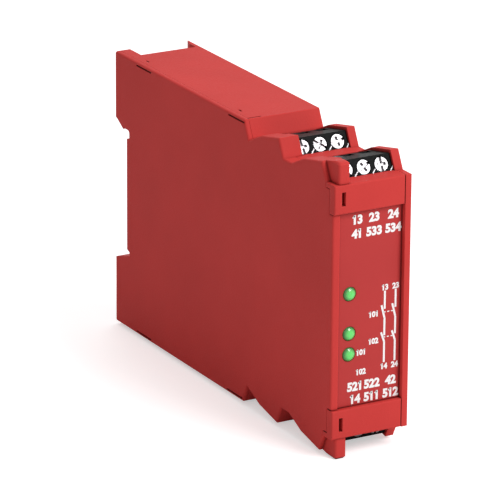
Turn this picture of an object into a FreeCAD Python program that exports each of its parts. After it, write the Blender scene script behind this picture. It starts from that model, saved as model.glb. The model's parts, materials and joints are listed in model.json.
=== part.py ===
import FreeCAD, Part
import math
import os
from FreeCAD import Vector

# Safety relay for a 35 mm top-hat rail: a red moulded housing with a snapped-on side cover,
# two stepped tiers of screw terminals at the top and two at the bottom, a recessed front plate
# between two front caps, and a sprung latch at the rail side.
#
# Working frame: X across the module, with the side cover at -X and the far wall at +X; Y from
# the front face (0) to the rail side; Z up from the flat bottom (0). The lower half of the
# housing is the mirror image of the upper half. Each piece is moved to the part's own frame
# when it is saved.

# ---------------------------------------------------------------- overall
WIDTH = 22.5
DEPTH = 118.0
HEIGHT = 78.0

# ---------------------------------------------------------------- housing walls
WALL = 1.8
COVER_THICKNESS = 1.3
COVER_EDGE_RADIUS = 0.6
SEAM = 0.05
NEAR_RIB_THICKNESS = 3.1
FAR_EAR_THICKNESS = 1.2
EAR_CHAMFER = 1.0
EAR_CHAMFER_LENGTH = 3.0
OVERCUT = 1.0
TOUCH = 1e-6

# ---------------------------------------------------------------- stepped tiers
TIER_COUNT = 2
TIER_PITCH = 21.8
TIER_LENGTH = 18.0
FRONT_LEDGE = 4.3
SHELF_DROP = 4.9
FACE_SETBACK = 2.45
CREST_LENGTH = 9.25
CREST_DROP = 1.95

# ---------------------------------------------------------------- terminal bays and blocks
POLE_COUNT = 3
POLE_PITCH = 5.2
BAY_CENTRE_X = 0.65
BLOCK_WIDTH = 16.3
BLOCK_CLEARANCE = 0.1
BLOCK_TOP_RECESS = 0.75
BLOCK_FACE_RECESS = 0.7
BLOCK_SINK = 5.6
BLOCK_REAR_MARGIN = 0.6
BAY_FLOOR = 1.4
JAMB_LIP = 2.1
JAMB_LIP_LENGTH = 7.4
CREST_LIP = 1.2
TAIL_SLOT_START = 2.0
TAIL_SLOT_LENGTH = 3.4

# ---------------------------------------------------------------- terminal screws
SCREW_RISE = 2.3
HEAD_DIAMETER = 3.8
HEAD_HEIGHT = 1.2
HEAD_SINK = 0.1
HEAD_CLEARANCE = 0.15
HEAD_BORE_SIDES = 16
DRIVE_SLOT_WIDTH = 0.7
DRIVE_SLOT_DEPTH = 0.7
DRIVE_CROSS_LENGTH = 2.6
SCREW_ANGLES = ((60, 150, 88), (82, 35, 165))
SHANK_DIAMETER = 2.5
SHANK_CLEARANCE = 0.05
SHANK_HOLE_SIDES = 8
SEAT_WEB = 0.55
TIP_GAP = 0.2

# ---------------------------------------------------------------- rising clamp cages
CAGE_TRAVEL = 2.0
CAGE_GAP = 0.15
CAGE_WIDTH = 4.2
CAGE_LENGTH = 3.3
CAGE_NUT_THICKNESS = 0.9
CAGE_SIDE_THICKNESS = 0.5
CAGE_BASE_THICKNESS = 0.7
WIRE_SPACE = 2.9
WIRE_BORE = 2.8
FUNNEL_WIDTH = 3.5
FUNNEL_DEPTH = 0.8

# ---------------------------------------------------------------- contact bars
BAR_THICKNESS = 0.6
BAR_WIDTH = 2.6
BAR_GAP = 0.2
BAR_TIP_LENGTH = 0.5
BAR_ROOT_LENGTH = 1.8
TAIL_WIDTH = 0.8
TAIL_BELOW_FLOOR = 2.2
TAIL_STEP = 1.3
TAIL_PROUD = 0.3

# ---------------------------------------------------------------- front plate, rails and caps
PLATE_RECESS = 1.5
PLATE_THICKNESS = 1.0
PLATE_CLEARANCE = 0.1
NEAR_RAIL_WIDTH = 2.05
NEAR_RAIL_SETBACK = 0.8
FAR_RAIL_WIDTH = 1.7
CAP_HEIGHT = 7.8
CAP_WALL = 1.2
CAP_EDGE_RADIUS = 0.4
CAP_SLOT_WIDTH = 1.1
CAP_SLOT_HEIGHT = 3.7
CAP_SLOT_INSET = 2.1
CAP_SLOT_DROP = 1.9

# ---------------------------------------------------------------- keying posts
POST_WIDTH = 3.4
POST_SETBACK = 0.5
POST_OVERHANG = 0.9
POST_EDGE_RADIUS = 0.8
POST_TOP_CHAMFER = 0.5
POST_TOP_LENGTH = 2.2

# ---------------------------------------------------------------- rail side
RAIL_SEAT_DEPTH = 6.4
RAIL_WIDTH = 35.0
RAIL_CLEARANCE = 0.6
RAIL_LOW_Z = 21.8
HOOK_DEPTH = 2.1
HOOK_RELIEF = 1.4
HOOK_LIP_DROP = 0.4
HOOK_LEAD_LENGTH = 3.4
HOOK_LEAD_RISE = 2.0
HOOK_NOTCH_HEIGHT = 2.2
HOOK_CORNER_RADIUS = 0.9
FOOT_LEDGE_DROP = 0.9
FOOT_LEDGE_SLOPE = 1.9
FOOT_RELIEF_HEIGHT = 1.1

# ---------------------------------------------------------------- snap windows of the side cover
SNAP_LENGTH = 8.4
SNAP_FRONT_GAP = 0.0
SNAP_REAR_GAP = 12.0
SLIT_WIDTH = 0.45
SLIT_DEPTH = 0.5
SLIT_DROP = 0.6
MARK_INSET = 3.3
MARK_LENGTH = 1.6
CROSS_SLIT_LENGTH = 4.0

# ---------------------------------------------------------------- rail latch and its spring
LATCH_TRAVEL = 3.0
LATCH_CLEARANCE = 0.2
LATCH_THICKNESS = 5.0
LATCH_BOTTOM_Z = 1.0
LATCH_NOSE_HEIGHT = 1.6
LATCH_NOSE_SETBACK = 1.4
LATCH_NOSE_TIP = 1.2
LATCH_LEAD_HEIGHT = 3.8
LATCH_SHOULDER_DROP = 0.2
GUIDE_WIDTH = 2.0
GUIDE_HEIGHT = 17.0
TONGUE_WIDTH = 0.9
TONGUE_THICKNESS = 1.4
TONGUE_SETBACK = 1.6
WINDOW_WIDTH = 5.0
WINDOW_BOTTOM_Z = 5.0
PEG_HEIGHT = 2.0
PEG_SIDE_GAP = 0.2
SPRING_WIDTH = 4.0
SPRING_STRIP = 0.55
SPRING_DEPTH = 2.6
SPRING_FOLD_COUNT = 8
SPRING_SPARE = 1.3
PRY_SLOT_WIDTH = 6.0
PRY_SLOT_DEPTH = 2.4
PRY_SLOT_HEIGHT = 2.4

# ---------------------------------------------------------------- circuit board and its parts
BOARD_THICKNESS = 1.6
BOARD_COVER_GAP = 0.4
BOARD_EDGE_GAP = 1.0
BOARD_FRONT_GAP = 0.1
BOSS_WIDTH = 4.0
BOSS_FRONT_Y = 14.0
BOSS_FRONT_SPREAD = 40.0
BOSS_REAR_GAP = 3.4
BOSS_REAR_SPREAD = 62.0
RELAY_WIDTH = 25.0
RELAY_WALL_GAP = 1.9
RELAY_SPREAD = 39.4
RELAY_FRONT_GAP = 3.45
RELAY_REAR_GAP = 6.5
CAPACITOR_COUNT = 2
CAPACITOR_WIDTH = 10.0
CAPACITOR_WALL_GAP = 5.0
CAPACITOR_GAP = 6.0
CHIP_LENGTH = 10.0
CHIP_WIDTH = 7.4
CHIP_HEIGHT = 2.4
CHIP_START_Y = 24.0
CHIP_SPREAD = 18.0

# ---------------------------------------------------------------- lamps
LAMP_DIAMETER = 3.7
LAMP_CLEARANCE = 0.1
LAMP_INSET = 3.55
LAMP_POWER_Z = 43.2
LAMP_CHANNEL_ONE_Z = 32.5
LAMP_CHANNEL_TWO_Z = 26.9
LAMP_PROUD = 0.9
LAMP_TIP_DIAMETER = 2.3
LAMP_BOARD_Y = 6.2
LAMP_BOARD_THICKNESS = 1.0
LAMP_BOARD_WIDTH = 9.0
LAMP_BOARD_MARGIN = 5.0

# ---------------------------------------------------------------- planes worked out from these
NEAR_X = -WIDTH / 2
FAR_X = WIDTH / 2
COVER_INNER_X = NEAR_X + COVER_THICKNESS
SHELL_NEAR_X = COVER_INNER_X + SEAM
FAR_INNER_X = FAR_X - WALL
BAY_NEAR_X = BAY_CENTRE_X - BLOCK_WIDTH / 2 - BLOCK_CLEARANCE
BAY_FAR_X = BAY_CENTRE_X + BLOCK_WIDTH / 2 + BLOCK_CLEARANCE
POST_NEAR_X = COVER_INNER_X + SEAM
RAIL_NEAR_X = NEAR_X + NEAR_RAIL_WIDTH
RAIL_FAR_X = FAR_X - FAR_RAIL_WIDTH
RIB_INNER_X = SHELL_NEAR_X + NEAR_RIB_THICKNESS
EAR_INNER_X = FAR_X - FAR_EAR_THICKNESS

# The spring closes by the latch's travel and still has a little room left between its folds.
SPRING_LENGTH = (SPRING_FOLD_COUNT + 2) * SPRING_STRIP + LATCH_TRAVEL + SPRING_SPARE
WINDOW_HEIGHT = PEG_SIDE_GAP + PEG_HEIGHT + SPRING_LENGTH

PLATE_BACK_Y = PLATE_RECESS + PLATE_THICKNESS
FRONT_INNER_Y = PLATE_BACK_Y + WALL
SEAT_Y = DEPTH - RAIL_SEAT_DEPTH
REAR_INNER_Y = SEAT_Y - WALL
SLANT_FOOT_Y = FRONT_LEDGE + (TIER_COUNT - 1) * TIER_PITCH + TIER_LENGTH
SLANT_TOP_Y = SLANT_FOOT_Y + FACE_SETBACK

SHELF_Z = HEIGHT - SHELF_DROP
CAP_LOW_Z = SHELF_Z - CAP_HEIGHT
CAP_FLANGE_Z = SHELF_Z - CAP_WALL
BLOCK_LOW_Z = SHELF_Z - BLOCK_SINK
BAY_LOW_Z = BLOCK_LOW_Z - BAY_FLOOR
RAIL_HIGH_Z = RAIL_LOW_Z + RAIL_WIDTH + RAIL_CLEARANCE

BOARD_NEAR_X = COVER_INNER_X + BOARD_COVER_GAP
BOARD_FAR_X = BOARD_NEAR_X + BOARD_THICKNESS
RELAY_START_Y = SLANT_TOP_Y + RELAY_FRONT_GAP
RELAY_END_Y = REAR_INNER_Y - RELAY_REAR_GAP
LAMP_X = RAIL_NEAR_X + LAMP_INSET
LAMP_HEIGHTS = (LAMP_POWER_Z, LAMP_CHANNEL_ONE_Z, LAMP_CHANNEL_TWO_Z)

# Distances along a screw, measured inward from the leaning face of its tier.
FACE_LENGTH = math.hypot(FACE_SETBACK, SHELF_DROP)
FACE_LEAN = math.degrees(math.atan2(FACE_SETBACK, SHELF_DROP))
HEAD_START = BLOCK_FACE_RECESS + HEAD_SINK
HEAD_END = HEAD_START + HEAD_HEIGHT
POCKET_START = HEAD_END + SEAT_WEB
NUT_START = POCKET_START + CAGE_GAP + CAGE_TRAVEL
NUT_END = NUT_START + CAGE_NUT_THICKNESS
BAR_START = NUT_END + BAR_GAP
BAR_END = BAR_START + BAR_THICKNESS
CAGE_BASE_START = BAR_END + WIRE_SPACE
CAGE_END = CAGE_BASE_START + CAGE_BASE_THICKNESS
WIRE_DEPTH = BAR_END + WIRE_SPACE / 2
POCKET_HALF_LENGTH = CAGE_LENGTH / 2 + CAGE_GAP
POCKET_WIDTH = CAGE_WIDTH + 2 * CAGE_GAP


# ---------------------------------------------------------------- helpers
def block(x_low, x_high, y_low, y_high, z_low, z_high):
    """A rectangular solid between two corners."""
    corner = Vector(x_low, y_low, z_low)
    return Part.makeBox(x_high - x_low, y_high - y_low, z_high - z_low, corner)


def prism(outline, x_low, x_high):
    """A side outline of (y, z) points, made solid between two planes across the module."""
    points = [Vector(x_low, y, z) for y, z in outline]
    face = Part.Face(Part.makePolygon(points + points[:1]))
    return face.extrude(Vector(x_high - x_low, 0, 0))


def rod(start, end, diameter):
    """A round bar from one point to another."""
    return Part.makeCylinder(diameter / 2, (end - start).Length, start, end - start)


def faceted_bar(start_y, end_y, across, sides):
    """A bar along Y with flat sides, a given distance across them, for holes that barely show."""
    half_turn = math.pi / sides
    reach = across / 2 / math.cos(half_turn)
    points = []
    for corner in range(sides):
        angle = (2 * corner + 1) * half_turn
        points.append(Vector(reach * math.cos(angle), start_y, reach * math.sin(angle)))
    return Part.Face(Part.makePolygon(points + points[:1])).extrude(Vector(0, end_y - start_y, 0))


def cut_all(shape, tools):
    """The shape with every tool taken away."""
    return shape.cut(tools) if tools else shape


def flip(shape):
    """The same shape at the bottom half of the housing."""
    return shape.mirror(Vector(0, 0, HEIGHT / 2), Vector(0, 0, 1))


def flip_points(points):
    """The same outline points at the bottom half, in the opposite order."""
    return [(y, HEIGHT - z) for y, z in reversed(points)]


def rounded(shape, radius, wanted):
    """The shape with a fillet on each edge that the test picks."""
    edges = [edge for edge in shape.Edges if wanted(edge)]
    return shape.makeFillet(radius, edges)


def save(name, shape):
    """Move a finished piece to the part's own frame and write it."""
    piece = shape.copy()
    piece.translate(Vector(0, -DEPTH / 2, POST_OVERHANG))
    piece = piece.removeSplitter()
    piece.exportStep(os.path.join("parts", name + ".step"))


# ---------------------------------------------------------------- side outlines
def tier_y(tier):
    """Where the leaning face of a tier meets the ledge in front of it."""
    return FRONT_LEDGE + tier * TIER_PITCH


def tier_points():
    """The upper stepped outline, from the front ledge to the flat top."""
    points = []
    for tier in range(TIER_COUNT):
        foot = tier_y(tier)
        tip = foot + FACE_SETBACK
        points.append((foot, SHELF_Z))
        points.append((tip, HEIGHT))
        points.append((tip + CREST_LENGTH, HEIGHT - CREST_DROP))
        points.append((foot + TIER_LENGTH, SHELF_Z))
    points.append((SLANT_TOP_Y, HEIGHT))
    return points


def upper_outline():
    """The whole upper outline, from the face behind a front cap to the end of the flat top."""
    return [(PLATE_BACK_Y, CAP_FLANGE_Z), (FRONT_LEDGE, CAP_FLANGE_Z)] + tier_points()


def body_outline():
    """The closed outline of the box between the side walls."""
    upper = upper_outline() + [(SEAT_Y, HEIGHT)]
    return upper + flip_points(upper)


def ear_outline():
    """The rear outline behind the rail seat: hook above the rail, ledge below it."""
    mouth_y = SEAT_Y + HOOK_DEPTH
    lip_z = RAIL_HIGH_Z - HOOK_LIP_DROP
    lead_y = mouth_y + HOOK_LEAD_LENGTH
    back_y = SEAT_Y - HOOK_RELIEF
    notch_z = RAIL_HIGH_Z - HOOK_NOTCH_HEIGHT
    ledge_z = RAIL_LOW_Z - FOOT_LEDGE_DROP
    relief_z = RAIL_LOW_Z + FOOT_RELIEF_HEIGHT / 2
    return [
        (DEPTH, HEIGHT),
        (DEPTH, lip_z + HOOK_LEAD_RISE + HOOK_LIP_DROP),
        (lead_y, lip_z + HOOK_LEAD_RISE),
        (mouth_y, lip_z),
        (mouth_y - HOOK_LIP_DROP, RAIL_HIGH_Z),
        (back_y, RAIL_HIGH_Z),
        (back_y, notch_z),
        (SEAT_Y, notch_z - HOOK_LIP_DROP),
        (SEAT_Y, relief_z + FOOT_RELIEF_HEIGHT / 2),
        (back_y, relief_z),
        (back_y, RAIL_LOW_Z - FOOT_RELIEF_HEIGHT / 2),
        (SEAT_Y, ledge_z),
        (DEPTH, ledge_z - FOOT_LEDGE_SLOPE),
        (DEPTH, 0.0),
    ]


def side_outline(front_y):
    """The closed outline of a side wall, with its rail hook and its edge between the caps."""
    upper = [(front_y, CAP_LOW_Z), (PLATE_BACK_Y, CAP_LOW_Z)] + upper_outline()
    return upper + ear_outline() + flip_points(upper)


def round_hook(shape):
    """The inner corner of the hook notch, rounded."""
    corner_y = SEAT_Y - HOOK_RELIEF

    def is_corner(edge):
        a, b = edge.Vertexes[0].Point, edge.Vertexes[-1].Point
        along_x = abs(a.y - b.y) < TOUCH and abs(a.z - b.z) < TOUCH
        return along_x and abs(a.y - corner_y) < TOUCH and abs(a.z - RAIL_HIGH_Z) < TOUCH

    return rounded(shape, HOOK_CORNER_RADIUS, is_corner)


def crest_drop(run):
    """How far the crest of a tier has fallen, a given way behind the tip."""
    return run * CREST_DROP / CREST_LENGTH


# ---------------------------------------------------------------- the frame of one pole
def pole_x(pole):
    """The centre of a pole across the module."""
    return BAY_CENTRE_X + (pole - (POLE_COUNT - 1) / 2) * POLE_PITCH


def on_pole(shape, tier, pole):
    """Move a shape drawn about a screw (Y inward along it, Z up the leaning face) to its pole."""
    rise = SCREW_RISE / FACE_LENGTH
    placed = shape.copy()
    placed.rotate(Vector(0, 0, 0), Vector(1, 0, 0), -FACE_LEAN)
    start = Vector(pole_x(pole), tier_y(tier) + rise * FACE_SETBACK, SHELF_Z + rise * SHELF_DROP)
    placed.translate(start)
    return placed


def make_screw(angle):
    """A round head with a slot and a short cross, left at an angle, and a plain shank."""
    head = rod(Vector(0, HEAD_START, 0), Vector(0, HEAD_END, 0), HEAD_DIAMETER)
    shank = rod(Vector(0, HEAD_END, 0), Vector(0, BAR_START - TIP_GAP, 0), SHANK_DIAMETER)
    half = DRIVE_SLOT_WIDTH / 2
    reach = HEAD_DIAMETER
    floor = HEAD_START + DRIVE_SLOT_DEPTH
    slot = block(-reach, reach, 0, floor, -half, half)
    cross = block(-half, half, 0, floor, -DRIVE_CROSS_LENGTH / 2, DRIVE_CROSS_LENGTH / 2)
    drive = slot.fuse(cross)
    drive.rotate(Vector(0, 0, 0), Vector(0, 1, 0), angle)
    return head.fuse(shank).cut(drive)


def make_cage():
    """A rectangular loop: a nut plate at the screw, two sides and a base under the wire."""
    half = CAGE_WIDTH / 2
    inner = half - CAGE_SIDE_THICKNESS
    length = CAGE_LENGTH / 2
    loop = block(-half, half, NUT_START, CAGE_END, -length, length)
    reach = length + OVERCUT
    hollow = block(-inner, inner, NUT_END, CAGE_BASE_START, -reach, reach)
    hole_size = SHANK_DIAMETER + 2 * SHANK_CLEARANCE
    hole = faceted_bar(NUT_START, NUT_END, hole_size, SHANK_HOLE_SIDES)
    return loop.cut([hollow, hole])


def make_contact(pole):
    """A bar through the cage, its wider root, and a tail that turns to the circuit board."""
    half = BAR_WIDTH / 2
    root_top = -POCKET_HALF_LENGTH
    root_low = root_top - BAR_ROOT_LENGTH
    blade = block(-half, half, BAR_START, BAR_END, root_top, POCKET_HALF_LENGTH + BAR_TIP_LENGTH)
    root = block(-POCKET_WIDTH / 2, POCKET_WIDTH / 2, BAR_START, BAR_END, root_low, root_top)
    lean = math.radians(FACE_LEAN)
    bar_z = SHELF_Z + SCREW_RISE * math.cos(lean) - (BAR_START + BAR_END) / 2 * math.sin(lean)
    level = BAY_LOW_Z - TAIL_BELOW_FLOOR - pole * TAIL_STEP
    tail_low = (level - bar_z) / math.cos(lean)
    tail = block(-TAIL_WIDTH / 2, TAIL_WIDTH / 2, BAR_START, BAR_END, tail_low, root_low)
    pin_end = BOARD_NEAR_X - TAIL_PROUD - pole_x(pole)
    pin = block(pin_end, TAIL_WIDTH / 2, BAR_START, BAR_END, tail_low, tail_low + TAIL_WIDTH)
    return blade.multiFuse([root, tail, pin])


def pole_hollow():
    """What one pole takes out of its block: head bore, shank hole, cage pocket and wire bore."""
    half = POCKET_WIDTH / 2
    deep = BLOCK_SINK + SHELF_DROP + CAGE_END
    head_size = HEAD_DIAMETER + 2 * HEAD_CLEARANCE
    head = faceted_bar(-FACE_SETBACK, HEAD_END, head_size, HEAD_BORE_SIDES)
    hole_size = SHANK_DIAMETER + 2 * HEAD_CLEARANCE
    hole = faceted_bar(HEAD_END, POCKET_START, hole_size, SHANK_HOLE_SIDES)
    pocket_end = CAGE_END + CAGE_GAP
    pocket = block(-half, half, POCKET_START, pocket_end, -deep, POCKET_HALF_LENGTH)
    slit_end = POCKET_HALF_LENGTH + BAR_TIP_LENGTH
    slit = block(-BAR_WIDTH / 2, BAR_WIDTH / 2, BAR_START, BAR_END, 0, slit_end)
    wire = rod(Vector(0, WIRE_DEPTH, 0), Vector(0, WIRE_DEPTH, deep), WIRE_BORE)
    return head.multiFuse([hole, pocket, slit, wire])


def funnel_height():
    """Where the wire bore comes out of the crest, up the leaning face from the screw."""
    lean = math.radians(FACE_LEAN)
    slope = CREST_DROP / CREST_LENGTH
    start_y = WIRE_DEPTH * math.cos(lean) + SCREW_RISE * math.sin(lean)
    start_z = SCREW_RISE * math.cos(lean) - WIRE_DEPTH * math.sin(lean)
    crest_z = SHELF_DROP - BLOCK_TOP_RECESS - (start_y - FACE_SETBACK) * slope
    return (crest_z - start_z) / (math.cos(lean) + math.sin(lean) * slope)


def square_ring(width, height):
    """A closed square round the wire's axis, at a height up the leaning face."""
    half = width / 2
    corners = [(-half, -half), (half, -half), (half, half), (-half, half), (-half, -half)]
    return Part.makePolygon([Vector(x, WIRE_DEPTH + y, height) for x, y in corners])


def pole_funnel():
    """The square, flared mouth of the wire bore."""
    top = funnel_height()
    rings = [square_ring(WIRE_BORE, top - FUNNEL_DEPTH), square_ring(FUNNEL_WIDTH, top)]
    flare = Part.makeLoft(rings, True, True)
    rings = [square_ring(FUNNEL_WIDTH, top), square_ring(FUNNEL_WIDTH, top + WIRE_BORE)]
    return flare.fuse(Part.makeLoft(rings, True, True))


# ---------------------------------------------------------------- terminal blocks and bays
def block_outline(tier, growth):
    """The side outline of a terminal block, or of its bay when it is grown by the clearance."""
    foot = tier_y(tier)
    recess_y = (BLOCK_FACE_RECESS - growth) / math.cos(math.radians(FACE_LEAN))
    top_drop = BLOCK_TOP_RECESS - growth
    face_slope = FACE_SETBACK / SHELF_DROP
    tip_y = foot + recess_y + FACE_SETBACK
    crest_y = foot + FACE_SETBACK + CREST_LENGTH
    rear_y = foot + TIER_LENGTH - BLOCK_REAR_MARGIN + growth
    crest_z = HEIGHT - CREST_DROP - top_drop
    rear_slope = (SHELF_DROP - CREST_DROP) / (TIER_LENGTH - FACE_SETBACK - CREST_LENGTH)
    return [
        (foot + recess_y, BLOCK_LOW_Z),
        (foot + recess_y, SHELF_Z),
        (tip_y - top_drop * face_slope, HEIGHT - top_drop - crest_drop(recess_y)),
        (crest_y, crest_z),
        (rear_y, crest_z - (rear_y - crest_y) * rear_slope),
        (rear_y, BLOCK_LOW_Z),
    ]


def make_terminal_block(tier):
    """One black moulding that carries the poles of a tier."""
    half = BLOCK_WIDTH / 2
    body = prism(block_outline(tier, 0.0), BAY_CENTRE_X - half, BAY_CENTRE_X + half)
    hollows = []
    for pole in range(POLE_COUNT):
        hollows.append(on_pole(pole_hollow(), tier, pole))
        hollows.append(on_pole(pole_funnel(), tier, pole))
    return cut_all(body, hollows)


def bay_hollow(tier):
    """The room for a terminal block, open to the near side, with its window and tail slot."""
    room = prism(block_outline(tier, BLOCK_CLEARANCE), BAY_NEAR_X - WIDTH, BAY_FAR_X)
    room = room.common(block(-WIDTH, WIDTH, 0, DEPTH, BLOCK_LOW_Z, HEIGHT))
    foot = tier_y(tier)
    slot_y = foot + TAIL_SLOT_START
    slot = block(BAY_NEAR_X - WIDTH, BAY_FAR_X, slot_y, slot_y + TAIL_SLOT_LENGTH, 0, BLOCK_LOW_Z)
    slot = slot.common(block(-WIDTH, WIDTH, 0, DEPTH, BAY_LOW_Z - OVERCUT, BLOCK_LOW_Z))
    return [room, slot, bay_window(tier)]


def bay_window(tier):
    """The opening over a block: through the leaning face and the crest."""
    foot = tier_y(tier)
    rear_y = foot + TIER_LENGTH - BLOCK_REAR_MARGIN
    return block(BAY_NEAR_X - SEAM, BAY_FAR_X, foot - SEAM, rear_y, SHELF_Z, HEIGHT + SEAM)


# ---------------------------------------------------------------- housing
def cavity_outline():
    """The inside of the housing, seen from the side."""
    top_z = HEIGHT - WALL
    upper = [
        (FRONT_INNER_Y, BAY_LOW_Z),
        (SLANT_FOOT_Y + WALL, BAY_LOW_Z),
        (SLANT_TOP_Y + WALL, top_z),
        (REAR_INNER_Y, top_z),
    ]
    return upper + flip_points(upper)


def jamb_outline():
    """The side outline of the thick strip beside the tiers, which belongs to the side cover."""
    return [(FRONT_LEDGE, BAY_LOW_Z)] + tier_points()[:-1] + [(SLANT_FOOT_Y, BAY_LOW_Z)]


def board_bosses(low_x, high_x):
    """The four square bosses at one side of the circuit board."""
    half = BOSS_WIDTH / 2
    bosses = []
    for side in (-1, 1):
        front_z = HEIGHT / 2 + side * BOSS_FRONT_SPREAD / 2
        rear_z = HEIGHT / 2 + side * BOSS_REAR_SPREAD / 2
        for y, z in ((BOSS_FRONT_Y, front_z), (REAR_INNER_Y - BOSS_REAR_GAP, rear_z)):
            bosses.append(block(low_x, high_x, y - half, y + half, z - half, z + half))
    return bosses


def lamp_windows():
    """The square windows behind the front plate that the lamps reach through."""
    half = LAMP_DIAMETER / 2 + LAMP_CLEARANCE
    low_x, high_x = LAMP_X - half, LAMP_X + half
    end_y = FRONT_INNER_Y + OVERCUT
    return [block(low_x, high_x, 0, end_y, z - half, z + half) for z in LAMP_HEIGHTS]


def snap_marks():
    """Fine slots in the flat top beside the snap hooks of the side cover."""
    tools = []
    inner_x = NEAR_X + MARK_INSET
    low_z = HEIGHT - SLIT_DEPTH
    high_z = HEIGHT + OVERCUT
    for start_y in snap_starts():
        end_y = start_y + SNAP_LENGTH
        tools.append(
            block(inner_x - SLIT_WIDTH, inner_x, end_y - MARK_LENGTH, end_y, low_z, high_z)
        )
    front_y = snap_starts()[0]
    tools.append(
        block(
            SHELL_NEAR_X,
            SHELL_NEAR_X + CROSS_SLIT_LENGTH,
            front_y + SLIT_WIDTH,
            front_y + 2 * SLIT_WIDTH,
            low_z,
            high_z,
        )
    )
    return tools


def snap_starts():
    """Where each snap hook begins, along the flat top."""
    return [SLANT_TOP_Y + SNAP_FRONT_GAP, DEPTH - SNAP_REAR_GAP - SNAP_LENGTH]


def far_ear():
    """The thin far side wall behind the rail seat, chamfered at its rear inner edge."""
    ear = prism(side_outline(0.0), EAR_INNER_X, FAR_X)
    ear = round_hook(ear)
    outside = EAR_INNER_X - OVERCUT
    tip_x = EAR_INNER_X + EAR_CHAMFER
    start_y = DEPTH - EAR_CHAMFER_LENGTH
    beyond_y = DEPTH + OVERCUT
    corners = [
        (outside, DEPTH),
        (outside, beyond_y),
        (tip_x, beyond_y),
        (tip_x, DEPTH),
        (EAR_INNER_X, start_y),
        (outside, start_y),
        (outside, DEPTH),
    ]
    wedge = Part.Face(Part.makePolygon([Vector(x, y, 0) for x, y in corners]))
    return ear.cut(wedge.extrude(Vector(0, 0, HEIGHT)))


def latch_guides():
    """Grooved guides beside the latch, and the peg under its spring."""
    guide_x = EAR_INNER_X - GUIDE_WIDTH
    guide = block(guide_x, EAR_INNER_X, SEAT_Y, DEPTH - SEAM, 0, GUIDE_HEIGHT)
    groove_y = SEAT_Y + TONGUE_SETBACK
    groove_end = groove_y + TONGUE_THICKNESS + 2 * LATCH_CLEARANCE
    far_groove = block(
        guide_x, guide_x + TONGUE_WIDTH + LATCH_CLEARANCE, groove_y, groove_end, 0, GUIDE_HEIGHT
    )
    near_groove = block(
        RIB_INNER_X - TONGUE_WIDTH - LATCH_CLEARANCE,
        RIB_INNER_X,
        groove_y,
        groove_end,
        0,
        RAIL_LOW_Z,
    )
    middle_x = latch_middle_x()
    peg_half = WINDOW_WIDTH / 2 - PEG_SIDE_GAP
    peg = block(
        middle_x - peg_half,
        middle_x + peg_half,
        SEAT_Y,
        SEAT_Y + LATCH_CLEARANCE + LATCH_THICKNESS,
        WINDOW_BOTTOM_Z + PEG_SIDE_GAP,
        WINDOW_BOTTOM_Z + PEG_SIDE_GAP + PEG_HEIGHT,
    )
    return guide.cut(far_groove), near_groove, peg


def make_housing():
    """The main moulding: far wall, top, bottom, rear and front walls, bays, ears and guides."""
    shell = prism(body_outline(), SHELL_NEAR_X, FAR_X)
    shell = shell.cut(prism(cavity_outline(), SHELL_NEAR_X - OVERCUT, FAR_INNER_X))
    rear_keep = block(-WIDTH, WIDTH, SEAT_Y - WALL, DEPTH, 0, HEIGHT)
    near_rib = prism(side_outline(NEAR_RAIL_SETBACK), SHELL_NEAR_X, RIB_INNER_X)
    near_rib = round_hook(near_rib).common(rear_keep)
    guide, near_groove, peg = latch_guides()
    ear_keep = block(-WIDTH, WIDTH, SEAT_Y - HOOK_DEPTH, DEPTH, 0, HEIGHT)
    ear = far_ear().common(ear_keep)
    far_rail = block(RAIL_FAR_X, FAR_X, 0, FRONT_LEDGE, HEIGHT - SHELF_Z, SHELF_Z)
    hook_room = rail_notch()
    shell = shell.multiFuse([near_rib.cut(near_groove), ear, far_rail, guide])
    shell = shell.cut(hook_room).fuse(peg)
    shell = cut_all(shell, lamp_windows())
    jamb = prism(jamb_outline(), SHELL_NEAR_X - OVERCUT, BAY_NEAR_X)
    tools = [jamb]
    for tier in range(TIER_COUNT):
        tools += bay_hollow(tier)
    tools += snap_marks()
    shell = cut_all(shell, tools + [flip(tool) for tool in tools])
    return shell.multiFuse(board_bosses(BOARD_FAR_X, FAR_INNER_X))


def rail_notch():
    """The undercuts in front of the seat plane, kept in the side walls only."""
    notch = prism(side_outline(0.0), -WIDTH, WIDTH)
    zone = block(-WIDTH, WIDTH, SEAT_Y - HOOK_RELIEF, SEAT_Y, WALL, HEIGHT - WALL)
    undercut = zone.cut(notch)
    near = undercut.common(block(NEAR_X, RIB_INNER_X, 0, DEPTH, 0, HEIGHT))
    far = undercut.common(block(EAR_INNER_X, FAR_X, 0, DEPTH, 0, HEIGHT))
    return [near, far]


# ---------------------------------------------------------------- side cover
def make_post():
    """The upright post in front of the jamb of the first tier: rounded in front, bevelled on top."""
    top_end_y = POST_SETBACK + POST_TOP_LENGTH
    outline = [
        (POST_SETBACK, SHELF_Z),
        (FRONT_LEDGE, SHELF_Z),
        (FRONT_LEDGE + FACE_SETBACK, HEIGHT),
        (top_end_y, HEIGHT + POST_OVERHANG),
        (POST_SETBACK, HEIGHT + POST_OVERHANG),
    ]
    post = prism(outline, POST_NEAR_X, POST_NEAR_X + POST_WIDTH)

    def is_front(edge):
        a, b = edge.Vertexes[0].Point, edge.Vertexes[-1].Point
        upright = abs(a.x - b.x) < TOUCH and abs(a.y - b.y) < TOUCH
        return upright and abs(a.y - POST_SETBACK) < TOUCH

    post = rounded(post, POST_EDGE_RADIUS, is_front)
    top = max(post.Faces, key=lambda face: face.CenterOfMass.z)
    rim = [edge for edge in top.Edges if edge.BoundBox.YMin < top_end_y - TOUCH]
    return post.makeChamfer(POST_TOP_CHAMFER, rim)


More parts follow.
